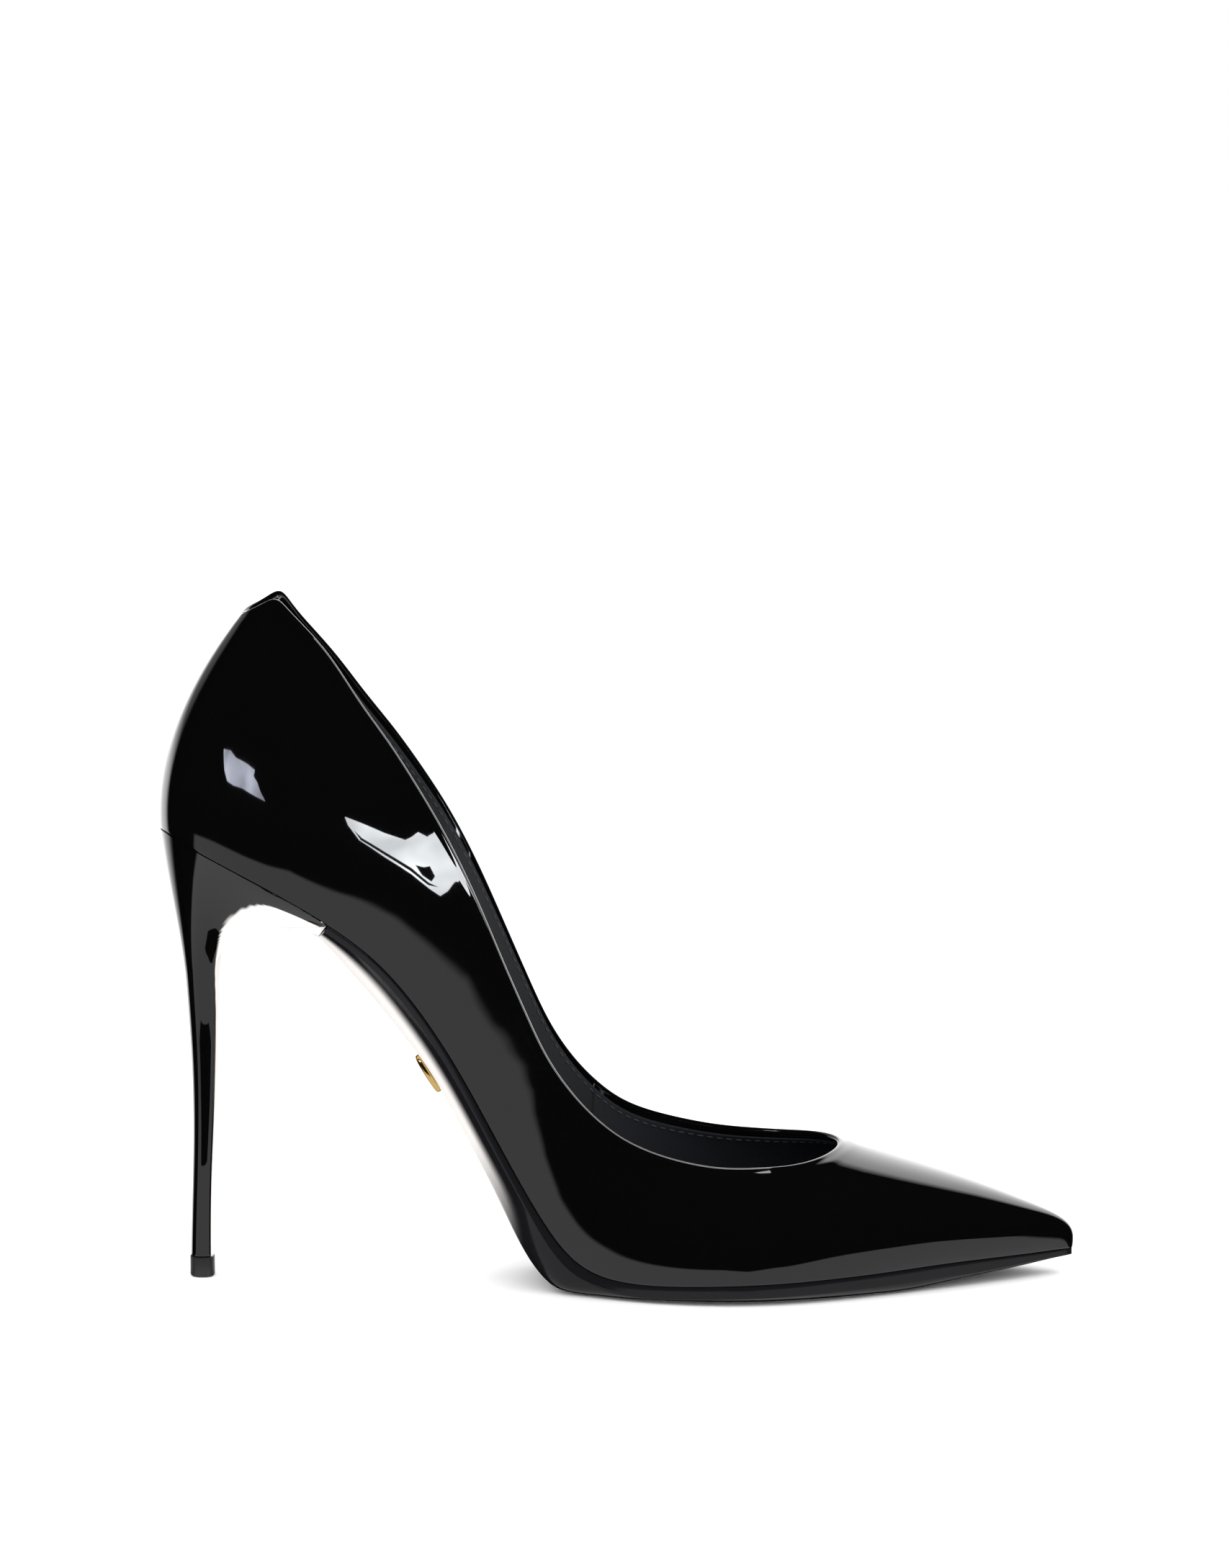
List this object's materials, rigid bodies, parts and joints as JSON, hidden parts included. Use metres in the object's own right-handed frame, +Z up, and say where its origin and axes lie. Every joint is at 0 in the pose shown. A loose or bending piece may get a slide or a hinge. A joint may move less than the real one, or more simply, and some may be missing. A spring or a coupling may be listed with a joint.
{
  "type": "high heel pump",
  "caption": "Pointed-toe court shoe in black patent leather with a slim stiletto heel, for the right foot.",
  "frame": {"origin": "centre of the shoe's box, at the floor", "axes": "+X from the heel to the toe, +Y to the shoe's left (its medial side), +Z up"},
  "size_m": [0.2316, 0.075, 0.1743],
  "materials": {
    "patent_leather": "mirror gloss black patent",
    "lining_leather": "matte black lining",
    "stiffener_board": "matte, moulded stiffener",
    "tape_fabric": "woven tape",
    "fibre_board": "pressed cellulose board, matte",
    "latex_foam": "soft latex foam",
    "sole_leather": "smooth black, semi-gloss",
    "cork": "granulated cork, matte",
    "heel_plastic": "moulded, smooth",
    "spring_steel": "plain steel",
    "heel_tip": "matte dark grey polyurethane",
    "gold_plate": "polished gold plate"
  },
  "bodies": {
    "root": {"upper": "patent_leather", "topline_tape": "tape_fabric", "back_seam_tape": "tape_fabric", "toe_puff": "stiffener_board", "heel_counter": "stiffener_board", "vamp_lining": "lining_leather", "quarter_lining_lateral": "lining_leather", "quarter_lining_medial": "lining_leather", "heel_grip": "lining_leather", "insole_board": "fibre_board", "insock_pad": "latex_foam", "sock_liner": "lining_leather", "shank": "spring_steel", "shank_rivets": "spring_steel", "forefoot_filler": "cork", "outsole": "sole_leather", "heel_core": "heel_plastic", "heel_cover": "patent_leather", "heel_tube": "spring_steel", "heel_screw": "spring_steel", "heel_nails": "spring_steel", "top_piece": "heel_tip", "top_piece_dowel": "spring_steel", "sole_plaque": "gold_plate", "plaque_pins": "spring_steel"}
  },
  "joints": []
}
